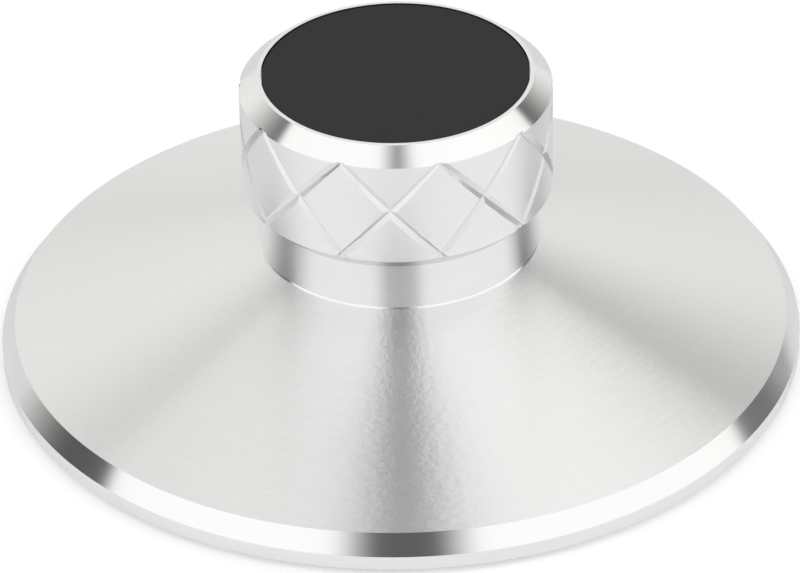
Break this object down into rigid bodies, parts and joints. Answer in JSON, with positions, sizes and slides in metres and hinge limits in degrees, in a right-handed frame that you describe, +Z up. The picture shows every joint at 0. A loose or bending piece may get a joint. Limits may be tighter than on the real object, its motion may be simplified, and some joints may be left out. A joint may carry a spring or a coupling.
{
  "type": "record weight",
  "caption": "Round aluminium weight with a low brushed cone and a diamond-grooved grip, which presses a record flat over the turntable's spindle.",
  "frame": {"origin": "on the spindle's axis, in the plane that the pad rests on", "axes": "+Z up along the spindle's axis, -Y towards the picture's camera"},
  "size_m": [0.09, 0.09, 0.035],
  "materials": {
    "brushed_disc": "concentric satin brushing, with a mirror-cut bevel at the rim",
    "satin_knob": "fine satin turning, with a mirror-cut chamfer and bright V grooves",
    "black_inlay": "matt, with a very fine even texture",
    "black_pad": "matt soft rubber"
  },
  "bodies": {
    "root": {"base_disc": "brushed_disc", "grip_knob": "satin_knob", "top_inlay": "black_inlay", "base_pad": "black_pad"}
  },
  "joints": []
}
